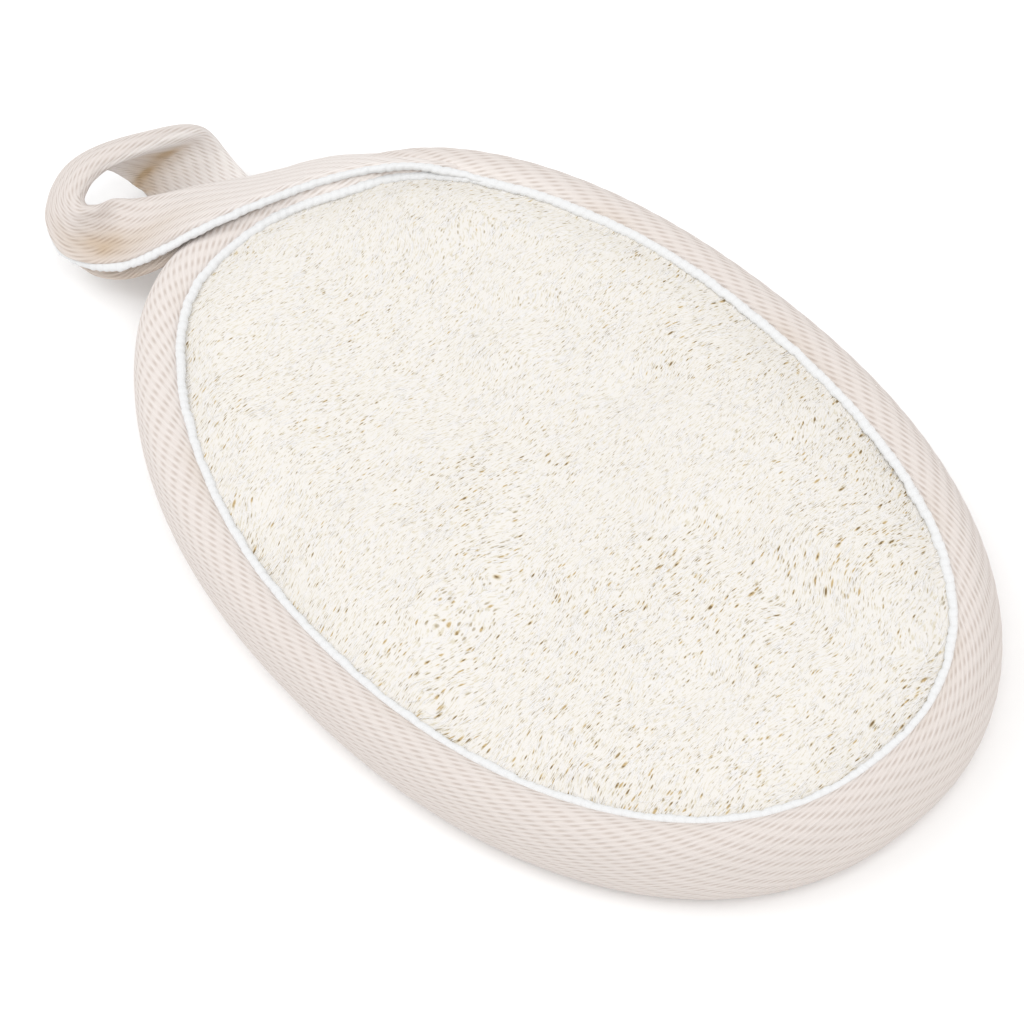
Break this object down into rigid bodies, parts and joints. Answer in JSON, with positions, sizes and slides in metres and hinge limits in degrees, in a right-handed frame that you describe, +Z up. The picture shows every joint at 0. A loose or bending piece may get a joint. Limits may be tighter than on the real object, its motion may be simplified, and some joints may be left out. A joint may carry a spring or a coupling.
{
  "type": "loofah scrub pad",
  "caption": "Oval scrub pad of pressed loofah fibre with a folded cotton twill edge tape, raised edge stitching and a twisted hanging loop.",
  "frame": {"origin": "middle of the pad's oval, on the surface that the pad lies on", "axes": "+X along the pad away from the hanging loop, +Y across the pad, +Z up through the pad to its front face"},
  "size_m": [0.1759, 0.0934, 0.0189],
  "materials": {
    "loofah": "matte, dry plant fibre with small ochre pits",
    "cotton_tape": "matte cotton twill",
    "thread": "matte bright white thread"
  },
  "bodies": {
    "root": {"loofah_pad": "loofah", "edge_tape": "cotton_tape", "stitching_front": "thread", "stitching_back": "thread"}
  },
  "joints": []
}
